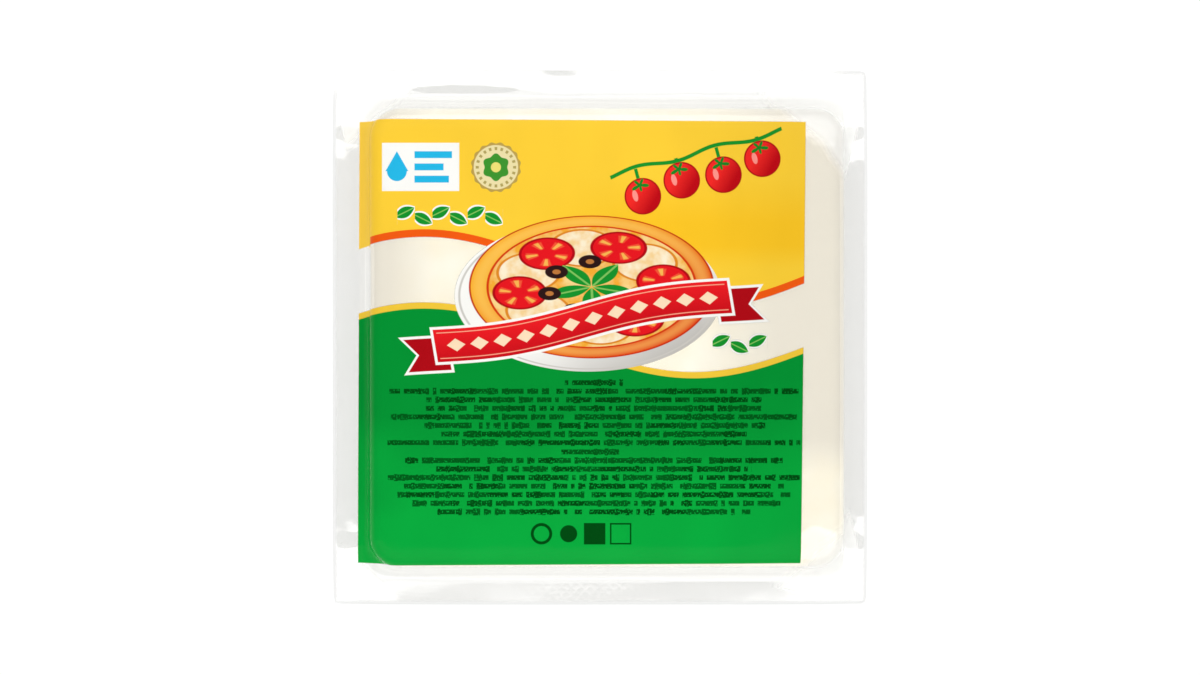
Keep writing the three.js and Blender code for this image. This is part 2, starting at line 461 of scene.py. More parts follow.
def colour(red, green, blue):
    """A colour on the usual scale of 0 to 255, as the light that it stands for."""
    share = np.array([red, green, blue]) / 255
    light = np.where(share <= 0.04045, share / 12.92, ((share + 0.055) / 1.055) ** 2.4)
    return (*light.tolist(), 1.0)


# ---- The print, in millimetres ----

SOFT_EDGE = 0.12  # width over which an ink begins

YELLOW = colour(254, 208, 58)
DEEP_YELLOW = colour(253, 199, 40)
ORANGE = colour(243, 92, 22)
STRIPE_YELLOW = colour(243, 201, 62)
GREEN = colour(6, 146, 52)
# the lighter green is painted light, for more light towards the front and the right
PAINTED_LIT_GREEN = colour(10, 170, 62)
DARK_GREEN = colour(2, 74, 18)
LEAF_GREEN = colour(24, 146, 46)
LEAF_RIB = colour(130, 196, 96)
LIGHT_BLUE = colour(40, 184, 230)
WHITE = colour(252, 251, 246)
RED = colour(232, 26, 34)
DEEP_RED = colour(176, 14, 24)

# The print's edges: where each crosses the middle line, and how far it leans across the print.
PRINT_LEFT, PRINT_RIGHT, PRINT_BACK, PRINT_FRONT = -64.1, 53.2, 56.8, -59.5
LEAN_LEFT, LEAN_RIGHT, LEAN_BACK, LEAN_FRONT = 0.004, 0.011, -0.007, 0.006
PRINT_MARGIN = 3.0


def inside(distance, scale=1.0):
    """The share of ink: 1 where a distance is below 0, and 0 beyond. `scale` is the number of
    millimetres in a step of it."""
    half = SOFT_EDGE / 2 / scale
    return distance.remap(-half, half, 1.0, 0.0)


class Print(Finish):
    """The finish of film with inks on it, laid one over another in the plane of `art`. `cover` is
    the share of film under ink."""

    def __init__(self, name):
        super().__init__(name)
        x, y, _ = self.parts(self.place())
        self.art = self.vector(x, y)
        self.colour = WHITE
        self.cover = None

    def lay(self, mask, paint):
        """Lays an ink over the ones before it, where film is inked already."""
        self.colour = self.mix(mask, self.colour, paint)

    def lay_on_bare(self, mask, paint):
        """Lays an ink that also reaches over bare film."""
        self.lay(mask, paint)
        self.cover = mask if self.cover is None else self.cover | mask

    def spot(self, middle, turn=0.0):
        """Distances from a middle, on axes turned by some degrees."""
        return self.parts(self.seen_from(self.art, middle, turn))[:2]

    def oval(self, middle, half):
        """Share of the way from the middle of an oval to its edge, with the point on its unit
        circle."""
        x, y, _ = self.parts(self.seen_from(self.art, middle, scale=half))
        return length(x, y), x, y

    def block(self, middle, half):
        """Distance beyond the sides of a rectangle."""
        x, y = self.spot(middle)
        return (abs(x) - half[0]) | (abs(y) - half[1])


# A pair whose name ends in TURN holds the values between which one thing turns into another.

# The two fields. Each wave is given by its level, its height and the width of the stripe on it.
WAVE_LENGTH = 141.0
WAVE_CREST = -46.0
UPPER_WAVE = SimpleNamespace(level=18.8, height=9.5, stripe=2.0)
LOWER_WAVE = SimpleNamespace(level=0.1, height=9.1, stripe=1.65)
ORANGE_START = -60.4  # left of this the orange stripe is yellow
LEFT_PAINTED_SHEEN = 0.03  # share of white in the yellow there: a painted sheen, for the film's reflection where it bends down over the slab's left edge
DEEP_BACK, DEEP_FRONT, DEEP_LEFT = (30.0, 42.0), (18.0, 24.0), (-20.0, 10.0)  # the deep band's
GREEN_TURN = (-46.0, -20.0)  # from the lighter green to the deeper one; the lighter green is painted light
GREEN_RIGHT, GREEN_LEAN = (20.0, 55.0), 8.0  # along here the turn moves back, by so much in all, so that the painted light reaches further back at the right
GREEN_PATCH, GREEN_DETAIL, GREEN_SWAY = 24.0, 1.0, 40.0


def lay_fields(inks):
    """A yellow field with an orange stripe under it, deeper in a band at its right, with a painted
    sheen of white at its left end; bare film; and a green field with a yellow stripe over it, painted
    lighter towards the front and the right in uneven patches, as painted light. Each edge is a
    cosine wave with its crest at the left."""
    x, y = inks.spot((0, 0))
    swing = ((x - WAVE_CREST) * (2 * pi / WAVE_LENGTH)).cos()
    upper = y - swing * UPPER_WAVE.height - UPPER_WAVE.level
    lower = y - swing * LOWER_WAVE.height - LOWER_WAVE.level
    left = inside(x - ORANGE_START)
    stripe = inks.mix(left, ORANGE, YELLOW)
    inks.lay_on_bare(inside(0 - upper - UPPER_WAVE.stripe), stripe)
    deep = y.remap(*DEEP_BACK, 1.0, 0.0) * y.remap(*DEEP_FRONT) * x.remap(*DEEP_LEFT)
    inks.lay(inside(0 - upper), inks.mix(deep, YELLOW, DEEP_YELLOW))
    # painted sheen: a little white over the yellow left of ORANGE_START, for the film's reflection
    # there
    inks.lay(left * LEFT_PAINTED_SHEEN, WHITE)
    inks.lay_on_bare(inside(lower), STRIPE_YELLOW)
    # painted light: the green turns lighter towards the front and the right, in uneven patches
    uneven = (inks.noise(inks.art, GREEN_PATCH, GREEN_DETAIL) - 0.5) * GREEN_SWAY
    level = y + uneven - x.remap(*GREEN_RIGHT, 0.0, GREEN_LEAN)
    green = inks.mix(level.remap(*GREEN_TURN), PAINTED_LIT_GREEN, GREEN)
    inks.lay(inside(lower + LOWER_WAVE.stripe), green)


def print_area(inks):
    """The square that is printed, inside its four leaning edges."""
    x, y = inks.spot((0, 0))
    left = y * LEAN_LEFT + PRINT_LEFT - x
    right = x - y * LEAN_RIGHT - PRINT_RIGHT
    back = y - x * LEAN_BACK - PRINT_BACK
    front = x * LEAN_FRONT + PRINT_FRONT - y
    return inside(left | right | back | front)


# The dish on its plate. Shares are of the way from its middle to its edge.
PLATE_MIDDLE, PLATE_HALF = (-3.2, 10.9), (34.8, 19.8)
SHADE_TURN = (0.2, 1.5)
PLATE_RING, PLATE_RING_HALF = 0.965, (0.004, 0.012)
DISH_MIDDLE, DISH_HALF = (-2.2, 13.2), (31.6, 18.4)
DISH_LINE, GLAZE_TURN, GLOW_SHARE = 0.015, (-0.9, 1.2), 0.4
BED_SHARE, BED_LINE = 0.85, 0.02
BED_PATCH, BED_DETAIL, BED_TURN = 5.5, 3.0, (0.42, 0.6)


def lay_dish(inks):
    """A white plate with a thin ring and on it an oval amber dish, whose bed is golden with pale
    patches. Its rim glows along its middle, as half a sine wave, and gets redder towards the front
    right."""
    share, x, y = inks.oval(PLATE_MIDDLE, PLATE_HALF)
    shaded = inks.mix((x - y).remap(*SHADE_TURN), WHITE, colour(188, 184, 178))
    inks.lay_on_bare(inside(share - 1, PLATE_HALF[1]), shaded)
    inks.lay(abs(share - PLATE_RING).remap(*PLATE_RING_HALF, 1.0, 0.0), colour(206, 202, 195))

    share, x, y = inks.oval(DISH_MIDDLE, DISH_HALF)
    radius = DISH_HALF[1]
    glaze = inks.mix((x - y).remap(*GLAZE_TURN), colour(250, 178, 50), colour(226, 62, 22))
    glow = ((share - BED_SHARE) * (pi / (1 - BED_SHARE))).sin().remap(0, 1, 0, GLOW_SHARE)
    patches = inks.noise(inks.art, BED_PATCH, BED_DETAIL).remap(*BED_TURN)
    bed = inks.mix(patches, colour(246, 172, 52), colour(250, 214, 140))
    inks.lay_on_bare(inside(share - (1 + DISH_LINE), radius), colour(196, 52, 20))
    inks.lay(inside(share - 1, radius), inks.mix(glow, glaze, colour(255, 212, 110)))
    inks.lay(inside(share - (BED_SHARE + BED_LINE), radius), colour(214, 58, 20))
    inks.lay(inside(share - BED_SHARE, radius), bed)
    return share, x, y


def sectors(dish, count, ring, start):
    """The dish cut into equal sectors, the first at `start` degrees. In each one: the distances
    outwards and across from a point at `ring` of the way out, and the sector's number."""
    share, x, y = dish
    turns = bearing(x, y) * (count / (2 * pi)) + (2 * count - start * count / 360)
    number = floor(turns)
    angle = (turns - number - 0.5) * (2 * pi / count)
    return share * angle.cos() - ring, share * angle.sin(), number


# What lies on the dish: how often its half size goes into the dish's, outwards and across, and its
# radius in millimetres.
SLICE_FIT, SLICE_RADIUS = (4.1, 3.9), 4.5
SLICE_LINE, SLICE_PATCH, SLICE_TURN = 0.1, 3.0, (0.35, 0.65)


def lay_cheese_slices(inks, dish):
    """A ring of round pale slices with amber edges and soft patches."""
    out, across, _ = sectors(dish, count=6, ring=0.56, start=8)
    share = length(out * SLICE_FIT[0], across * SLICE_FIT[1])
    inks.lay(inside(share - (1 + SLICE_LINE), SLICE_RADIUS), colour(224, 138, 40))
    patches = inks.noise(inks.art, SLICE_PATCH).remap(*SLICE_TURN)
    paste = inks.mix(patches, colour(248, 212, 150), colour(254, 240, 210))
    inks.lay(inside(share - 1, SLICE_RADIUS), paste)


TOMATO_FIT, TOMATO_RADIUS = (4.4, 4.2), 4.0
TOMATO_SKIN, FLESH_TURN, SEED_TURN = 0.1, (0.0, 0.35), (0.75, 0.9)
POCKET_COUNT, POCKET_RING, POCKET_HALF = 5, 0.54, (0.16, 0.24)


def lay_tomato_slices(inks, dish):
    """A ring of tomato slices: skin, flesh and seed pockets, as a cosine wave in the bearing."""
    out, across, number = sectors(dish, count=6, ring=0.6, start=38)
    share = length(out * TOMATO_FIT[0], across * TOMATO_FIT[1])
    pockets = (bearing(out, across) * POCKET_COUNT + number).cos()
    ring = abs(share - POCKET_RING).remap(*POCKET_HALF, 1.0, 0.0)
    inks.lay(inside(share - 1, TOMATO_RADIUS), DEEP_RED)
    inks.lay(inside(share - (1 - TOMATO_SKIN), TOMATO_RADIUS), RED)
    inks.lay(ring & pockets.remap(*FLESH_TURN), colour(242, 88, 56))
    inks.lay(ring & pockets.remap(*SEED_TURN), colour(250, 184, 84))


LEAF_FIT, LEAF_NARROWING, LEAF_RIB_HALF, LEAF_RADIUS = 12, 28, 0.12, 1.6


def lay_leaf_rosette(inks, dish):
    """Five pointed leaves round the dish's middle, each with a pale rib. A leaf's half width falls
    off with the square of the distance from its middle."""
    out, across, _ = sectors(dish, count=5, ring=0.2, start=20)
    from_rib = abs(across * LEAF_FIT)
    blade = inside(from_rib + out * out * LEAF_NARROWING - 1, LEAF_RADIUS)
    inks.lay(blade, LEAF_GREEN)
    inks.lay(blade & inside(from_rib - LEAF_RIB_HALF, LEAF_RADIUS), LEAF_RIB)


OLIVE_FIT, OLIVE_RADIUS = 10.5, 1.7
OLIVE_HOLE, OLIVES_LEFT_OUT, OLIVE_SEED = 0.36, 0.3, 3.0


def lay_olives(inks, dish):
    """A ring of dark olive rings, each with a pale hole, some left out at random."""
    out, across, number = sectors(dish, count=7, ring=0.36, start=15)
    share = length(out * OLIVE_FIT, across * OLIVE_FIT)
    kept = inks.chance(number, OLIVE_SEED) > OLIVES_LEFT_OUT
    inks.lay(inside(share - 1, OLIVE_RADIUS) & kept, colour(46, 26, 26))
    inks.lay(inside(share - OLIVE_HOLE, OLIVE_RADIUS) & kept, colour(190, 120, 60))


RIBBON_MIDDLE, RIBBON_HALF, RIBBON_TILT = (-4.6, 4.2), (39.0, 4.3), 9.5
RIBBON_BOW, RIBBON_BORDER = 1.4, 0.7
TAIL_LENGTH, TAIL_DROP, TAIL_HIDDEN, NOTCH_SLOPE = 8.0, 2.2, 3.2, 0.8
STITCH_INSET, STITCH_HALF, STITCH_MARGIN = 0.9, 0.16, 0.8
LOZENGE_PITCH, LOZENGE_HALF, LOZENGE_STEP, LOZENGE_MARGIN = 6.1, (2.4, 1.7), 1.5, 2.4


def lay_ribbon(inks):
    """A ribbon across the dish, rising to the right: a band that is bowed by a sine wave over two
    darker tails with notched ends, all with a white border, and on the band a stitched line along
    each side and a row of pale lozenges."""
    x, y = inks.spot(RIBBON_MIDDLE, RIBBON_TILT)
    half_length, half_width = RIBBON_HALF
    y = y - (x * (pi / half_length)).sin() * RIBBON_BOW
    low = y + TAIL_DROP
    notch = abs(x) - (half_length + TAIL_LENGTH) + (half_width - abs(low)) * NOTCH_SLOPE
    tail = notch | (abs(low) - half_width) | (half_length - TAIL_HIDDEN - abs(x))
    band = (abs(x) - half_length) | (abs(y) - half_width)
    inks.lay_on_bare(inside(tail - RIBBON_BORDER), WHITE)
    inks.lay(inside(tail), DEEP_RED)
    inks.lay_on_bare(inside(band - RIBBON_BORDER), WHITE)
    sheen = y.remap(-half_width, half_width)
    inks.lay(inside(band), inks.mix(sheen, colour(202, 18, 28), colour(240, 32, 38)))
    stitch = abs(abs(y) - half_width + STITCH_INSET) - STITCH_HALF
    inks.lay(inside(stitch) & inside(band + STITCH_MARGIN), colour(250, 168, 140))
    cell = x / LOZENGE_PITCH - floor(x / LOZENGE_PITCH) - 0.5
    lozenge = abs(cell) * (LOZENGE_PITCH / LOZENGE_HALF[0]) + abs(y) / LOZENGE_HALF[1] - 1
    lozenges = inside(lozenge, LOZENGE_STEP) & inside(band + LOZENGE_MARGIN)
    inks.lay(lozenges, colour(255, 226, 190))


def row_cell(x, count, pitch):
    """Cuts a row into cells one pitch wide. Returns the distance from the cell's middle, the cell's
    number from the left, and the distance beyond the row's ends."""
    number = floor(x / pitch + count / 2)
    return x - (number + (0.5 - count / 2)) * pitch, number, abs(x) - count * pitch / 2


VINE_MIDDLE, VINE_TILT = (26.6, 42.6), 15.0
CHERRY_COUNT, CHERRY_PITCH, CHERRY_RADIUS = 4, 10.9, 4.8
CHERRY_LEVEL, CHERRY_SWAY, CHERRY_LINE, CHERRY_TURN = -0.8, 0.7, 0.08, (-2.5, 4.5)
STEM_LEVEL, STEM_HALF, STEM_OVERHANG = 5.8, 0.5, 1.5
STEM_BENDS, STEM_SWAY = 0.3, 0.7
STALK_LEVEL, STALK_HALF = 3.5, (0.45, 2.4)
GLINT_SPOT, GLINT_HALF, GLINT_STEP = (-1.9, 0.6), (0.7, 1.5), 0.8
SEPAL_COUNT, SEPAL_REACH, SEPAL_WAVE = 5, 1.6, 0.9
SEPAL_LEVEL, SEPAL_FLATNESS = 0.62, 1.5


def lay_tomato_vine(inks):
    """Cherry tomatoes in a row under a wavy stem that rises to the right. Each is shaded from its
    upper left, with a darker edge, a glint and a star of sepals, whose reach waves round five
    times."""
    x, y = inks.spot(VINE_MIDDLE, VINE_TILT)
    along, number, beyond = row_cell(x, CHERRY_COUNT, CHERRY_PITCH)
    within = inside(beyond)
    stem = y - STEM_LEVEL - (x * STEM_BENDS).sin() * STEM_SWAY
    inks.lay(inside(abs(stem) - STEM_HALF) & inside(beyond - STEM_OVERHANG), LEAF_GREEN)
    stalk = inside(abs(along) - STALK_HALF[0]) & inside(abs(y - STALK_LEVEL) - STALK_HALF[1])
    inks.lay(stalk & within, LEAF_GREEN)
    y = y - CHERRY_LEVEL + (number * pi).cos() * CHERRY_SWAY
    share = length(along, y) / CHERRY_RADIUS
    skin = inks.mix((along - y).remap(*CHERRY_TURN), colour(244, 44, 40), colour(190, 14, 24))
    inks.lay(inside(share - 1, CHERRY_RADIUS) & within, DEEP_RED)
    inks.lay(inside(share - (1 - CHERRY_LINE), CHERRY_RADIUS) & within, skin)
    glint_x, glint_y = along - GLINT_SPOT[0], y - GLINT_SPOT[1]
    glint = length(glint_x / GLINT_HALF[0], glint_y / GLINT_HALF[1])
    inks.lay(inside(glint - 1, GLINT_STEP) & within, colour(255, 150, 140))
    top = y - CHERRY_RADIUS * SEPAL_LEVEL
    wave = (bearing(along, top) * SEPAL_COUNT + pi / 2).cos() * SEPAL_WAVE
    sepals = length(along, top * SEPAL_FLATNESS) - (wave + SEPAL_REACH)
    inks.lay(inside(sepals) & within, colour(30, 132, 40))


SPRIG_COSINE, SPRIG_SINE = 0.9, 0.44  # of a leaf's lean
SPRIG_HALF, SPRIG_NARROWING, SPRIG_SHIFT = 1.4, 0.17, 0.9
SPRIG_BORDER, SPRIG_RIB_HALF = 0.45, 0.14


def lay_sprig(inks, middle, count, pitch, lay):
    """A row of pointed leaves that lean to either side by turns, with pale borders and ribs. A
    leaf's half width falls off with the square of the distance from its middle."""
    x, y = inks.spot(middle)
    along, number, beyond = row_cell(x, count, pitch)
    side = (number * pi).cos()
    out = along * SPRIG_COSINE + y * side * SPRIG_SINE
    from_rib = abs(y * SPRIG_COSINE - along * side * SPRIG_SINE - side * SPRIG_SHIFT)
    blade = from_rib + out * out * SPRIG_NARROWING - SPRIG_HALF
    within = inside(beyond)
    lay(inside(blade - SPRIG_BORDER) & within, WHITE)
    inks.lay(inside(blade) & within, LEAF_GREEN)
    inks.lay(inside(blade) & inside(from_rib - SPRIG_RIB_HALF) & within, LEAF_RIB)


PANEL_MIDDLE, PANEL_HALF = (-46.9, 44.6), (10.1, 6.3)
DROP_MIDDLE, DROP_RADIUS = (-53.1, 43.5), 2.6
DROP_COSINE, DROP_SINE = 0.87, 0.5  # of half the angle at its tip
BARS_LEFT, BAR_HALF_WIDTH = -48.5, 0.9
BARS = ((47.8, 9.8), (44.6, 7.6), (41.4, 9.0))  # level and length of each


def lay_panel(inks):
    """A white panel with a light blue drop, which is a disc under a cone that touches it, and three
    bars of unequal length."""
    inks.lay(inside(inks.block(PANEL_MIDDLE, PANEL_HALF)), WHITE)
    x, y = inks.spot(DROP_MIDDLE)
    cone = (abs(x) * DROP_COSINE + y * DROP_SINE - DROP_RADIUS) | (0 - y)
    inks.lay(inside(cone & (length(x, y) - DROP_RADIUS)), LIGHT_BLUE)
    for level, reach in BARS:
        bar = inks.block((BARS_LEFT + reach / 2, level), (reach / 2, BAR_HALF_WIDTH))
        inks.lay(inside(bar), LIGHT_BLUE)


ROSETTE_MIDDLE, ROSETTE_RADIUS = (-27.2, 44.5), 6.6
ROSETTE_FACE, ROSETTE_DOT = 0.88, 0.2
SCALLOP_COUNT, SCALLOP_RING, SCALLOP_DEPTH = 16, 0.97, 0.03
BEAD_COUNT, BEAD_RING, BEAD_HALF, BEAD_TURN = 20, 0.74, (0.05, 0.07), (0.0, 0.4)
PETAL_COUNT, PETAL_REACH, PETAL_DEPTH = 6, 0.5, 0.05


def lay_rosette(inks):
    """A beige rosette: a scalloped edge, a ring of beads and a green middle with a pale dot. Its
    scallops, beads and petals are cosine waves in the bearing."""
    share, x, y = inks.oval(ROSETTE_MIDDLE, (ROSETTE_RADIUS, ROSETTE_RADIUS))
    angle = bearing(x, y)
    edge = share + (angle * SCALLOP_COUNT).cos() * SCALLOP_DEPTH - SCALLOP_RING
    inks.lay(inside(edge, ROSETTE_RADIUS), colour(190, 160, 80))
    inks.lay(inside(share - ROSETTE_FACE, ROSETTE_RADIUS), colour(240, 226, 172))
    ring = abs(share - BEAD_RING).remap(*BEAD_HALF, 1.0, 0.0)
    inks.lay(ring & (angle * BEAD_COUNT).cos().remap(*BEAD_TURN), colour(176, 160, 90))
    petals = share + (angle * PETAL_COUNT).cos() * PETAL_DEPTH - PETAL_REACH
    inks.lay(inside(petals, ROSETTE_RADIUS), colour(64, 150, 50))
    inks.lay(inside(share - ROSETTE_DOT, ROSETTE_RADIUS), colour(240, 226, 120))


ROWS_MIDDLE, ROWS_LEVELS = -1.6, (-11.8, -29.9)
ROW_PITCH, ROW_COUNT, ROW_SHIFT = 2.24, 8, 0.31
FIRST_ROW_HALF, ROW_HALF, ROW_SPREAD = 8.5, 39.0, 15.0
BLOT_PITCH, BLOT_GAPS, BLOT_TURN, BLOT_HALF = 0.95, 0.14, (0.6, 1.0), (0.62, 0.92)
STROKE_SIZE, STROKE_STRETCH, STROKE_TURN = 0.34, 0.6, (0.27, 0.42)
GROUP_PITCH, GROUP_SHIFT, GROUP_TURN, GROUP_WEIGHT = 7.1, 2.7, (0.5, 0.7), 0.88


def lay_small_print(inks, level):
    """Rows of tiny blots, a short row over longer ones. Each blot is a cell of its row with a random
    height, or a gap, broken up by fine noise. Some groups are darker, and the rows end unevenly."""
    x, y = inks.spot((ROWS_MIDDLE, level))
    down = 0.5 - y / ROW_PITCH
    row = floor(down)
    cell = floor((x + row * ROW_SHIFT) / BLOT_PITCH)
    chance = inks.chance(cell, row + level)
    tall = chance.remap(*BLOT_TURN, *BLOT_HALF)
    blot = inside(abs(down - row - 0.5) * ROW_PITCH - tall)
    strokes = inks.noise(inks.vector(x, y * STROKE_STRETCH), STROKE_SIZE, detail=0.0)
    ends = inks.chance(row, level) * ROW_SPREAD + (ROW_HALF - FIRST_ROW_HALF)
    ends = (row > 0.5) * ends + FIRST_ROW_HALF
    rows = (abs(x) < ends) & (down > 0) & (down < ROW_COUNT)
    group = floor((x + row * GROUP_SHIFT) / GROUP_PITCH)
    weight = inks.chance(group, row - level).remap(*GROUP_TURN, GROUP_WEIGHT, 1.0)
    blots = blot & strokes.remap(*STROKE_TURN) & rows & (chance > BLOT_GAPS)
    inks.lay(blots & weight, DARK_GREEN)


MARKS_LEVEL, MARK_HALF = -51.3, 2.8
RING_X, DISC_X, SQUARE_X, OUTLINE_X = -15.3, -8.2, -1.4, 5.4
RING_WIDTH, OUTLINE_WIDTH, DISC_SHARE = 0.28, 0.4, 0.8


def lay_marks(inks):
    """A ring, a disc, a square and an outlined square under the small print."""
    half = (MARK_HALF, MARK_HALF)
    ring, disc = (inks.oval((x, MARKS_LEVEL), half)[0] for x in (RING_X, DISC_X))
    square, hollow = (inks.block((x, MARKS_LEVEL), half) for x in (SQUARE_X, OUTLINE_X))
    inks.lay(inside(abs(ring - (1 - RING_WIDTH / 2)) - RING_WIDTH / 2, MARK_HALF), DARK_GREEN)
    inks.lay(inside(disc - DISC_SHARE, MARK_HALF), DARK_GREEN)
    inks.lay(inside(square), DARK_GREEN)
    inks.lay(inside(abs(hollow + OUTLINE_WIDTH / 2) - OUTLINE_WIDTH / 2), DARK_GREEN)


def lay_print(inks):
    """All inks in their order, within the print's edges."""
    lay_fields(inks)
    dish = lay_dish(inks)
    lay_cheese_slices(inks, dish)
    lay_tomato_slices(inks, dish)
    lay_leaf_rosette(inks, dish)
    lay_olives(inks, dish)
    lay_ribbon(inks)
    lay_tomato_vine(inks)
    lay_sprig(inks, middle=(-39.2, 31.9), count=6, pitch=4.6, lay=inks.lay)
    lay_sprig(inks, middle=(36.6, -1.7), count=3, pitch=4.8, lay=inks.lay_on_bare)
    lay_panel(inks)
    lay_rosette(inks)
    for level in ROWS_LEVELS:
        lay_small_print(inks, level)
    lay_marks(inks)
    inks.cover = inks.cover & print_area(inks)


# ---- Finishes ----

PURE_WHITE = (1.0, 1.0, 1.0, 1.0)
FILM_TINT = (0.982, 0.982, 0.977, 1.0)
FILM_SHADOW = (0.93, 0.93, 0.925, 1.0)  # light that a face of film lets through to what is behind
FILM_GLOSS = 0.04  # roughness of the film's surface
FRONT_SEAL_GLOSS = 0.2  # and of the front seal, which is worn duller
GLOSS_TURN = (SEAL_WIDTH - 1, SEAL_WIDTH + 1)  # where the two meet, from the front cut edge
HEAD_ON_GLOSS = 0.05  # share of light that a smooth film reflects head-on
FILM_PATCH, FILM_RELIEF = 7.0, 0.12
SOFT_DETAIL = 1.0  # of the noise in soft relief and clouds

HAZE_COLOUR = (0.9, 0.9, 0.89, 1.0)
TOP_HAZE = 0.01  # share of light that the film scatters, on the slab's top
FLARE_HAZE = 0.07  # and where it is stretched, on the flare and the seal
HAZE_START = PACK_HEIGHT - 0.6  # the level below which the top film gets hazier
POCKET_HAZE, POCKET_LEVELS = 0.05, (5.0, 14.0)  # low on the wall, and where it becomes the flare's

CORNER_HAZE_AND_GLARE = 0.42  # and at the corners, in a cloud each: partly the stretched film's haze, partly a painted reflection of glare
CLOUD_EDGE = (28.0, 33.0)  # they fade out between these distances from the corner
CLOUD_MIDDLE = (-5.0, -3.0)  # they lie evenly about this point, so the back right one is large
CLOUD_PATCH, CLOUD_SWAY = 14.0, 8.0
STRIP_START = (0.6, 1.6)  # a cloud begins between these distances from the bare strip
STRIP_SPREAD = 13.0  # the larger this is, the slower the strip widens

CUT_LINE = (0.5, 1.2)  # the grey line on the cut edge fades out between these distances from it
CUT_TINT = (0.968, 0.968, 0.966, 1.0)
LINE_FRONT, LINE_RIGHT = (64.0, 67.0), (60.0, 66.0)  # it shows before one and right of the other

KNURL_PITCH, KNURL_DEPTH = 1.8, 0.025
KNURL_SPAN = (6.0, 26.0)  # the knurl fades out between these distances from the middle
KNURL_FRONT, KNURL_BACK = (0.7, 1.1), (5.2, 5.8)  # and at its sides, from the front cut edge
BACK_FACETS = (((-34.7, 64.9), (20.5, 5.0)), ((23.8, 64.2), (6.0, 1.8)))  # middle and half size
FACET_SLOPE = 0.08
LIP_LEFT, LIP_RIGHT = (4.0, 20.0), (48.0, 56.0)  # where the lip begins and ends
LIP_RISE, LIP_HEIGHT = (-71.0, -64.0), 0.55

INK_GLOSS, INK_SPECULAR = 0.1, 0.04
INK_PATCH, INK_STRETCH, INK_TURN = 16.0, 2.2, (0.25, 0.75)
INK_DEPTH = (0.96 * 0.79, 1.04 * 0.79)  # how light the inks are on the film, beside their colours
INK_SHADE_SPAN, INK_SHADE_DEPTH = (24.0, 50.0), 0.91  # painted shade: the inks get darker here, down to this share, for the weaker light at the right
INK_RELIEF_PATCH, INK_RELIEF = 9.0, 0.1


def reflected(finish):
    """Share of light that the film reflects: least head-on, and more the flatter it is seen, with
    the fifth power of that."""
    facing = finish.add("LayerWeight", sockets={"Blend": 0.5}, output="Facing")
    return facing**5 * (1 - HEAD_ON_GLOSS) + HEAD_ON_GLOSS


def knurl(finish, place):
    """The front seal's embossed diamonds, as a height in millimetres: two sets of ridges that cross
    at right angles, each the size of a sine wave, clear of the seal's edges and strongest at its
    middle."""
    x, y, _ = finish.parts(place)
    wave_number = pi / KNURL_PITCH / sqrt(2)
    ridges = abs(((x + y) * wave_number).sin()) & abs(((x - y) * wave_number).sin())
    from_edge = y + RIM_SIDE / 2
    band = from_edge.remap(*KNURL_FRONT) & from_edge.remap(*KNURL_BACK, 1.0, 0.0)
    return ridges * (band * abs(x).remap(*KNURL_SPAN, 1.0, 0.0)) * KNURL_DEPTH


def waves(finish, place):
    """Height of the seal's finer relief in millimetres: oval facets near the back edge, each of which
    rises backwards and fades out round its middle, and a lip that rises to the cut edge at the front
    right."""
    x, y, _ = finish.parts(place)
    height = x.remap(*LIP_LEFT) * x.remap(*LIP_RIGHT, 1.0, 0.0) * y.remap(*LIP_RISE, LIP_HEIGHT, 0.0)
    for middle, half in BACK_FACETS:
        across, along = (x - middle[0]) / half[0], (y - middle[1]) / half[1]
        window = (1 - across * across - along * along) | 0
        height = height + along * window * (FACET_SLOPE * half[1])
    return height


def corner_haze_and_glare(finish, place):
    """The haze in the film's corners, which is partly stretched film and partly a painted reflection
    of glare. Each cloud ends at a slanting edge that noise makes uneven, and leaves a strip bare
    along the cut edge, which widens with the square of the distance from the corner."""
    x, y, _ = finish.parts(place)
    side, end = RIM_SIDE / 2 - abs(x), RIM_SIDE / 2 - abs(y)
    strip = (side | end) / STRIP_SPREAD
    beyond_strip = (side & end) - strip * strip
    to_corner = RIM_SIDE - abs(x - CLOUD_MIDDLE[0]) - abs(y - CLOUD_MIDDLE[1])
    to_corner = to_corner + finish.noise(place, CLOUD_PATCH, SOFT_DETAIL) * CLOUD_SWAY
    cloud = to_corner.remap(*CLOUD_EDGE, CORNER_HAZE_AND_GLARE, 0.0)
    return cloud & beyond_strip.remap(*STRIP_START, 0.0, CORNER_HAZE_AND_GLARE)


def cut_line(finish, place):
    """Where the cut edge is seen as a line: on three sides, and at the back near the right corner."""
    x, y, _ = finish.parts(place)
    from_cut = RIM_SIDE / 2 - (abs(x) | abs(y))
    seen = y.remap(*LINE_FRONT, 1.0, 0.0) | x.remap(*LINE_RIGHT)
    return from_cut.remap(*CUT_LINE, 1.0, 0.0) & seen


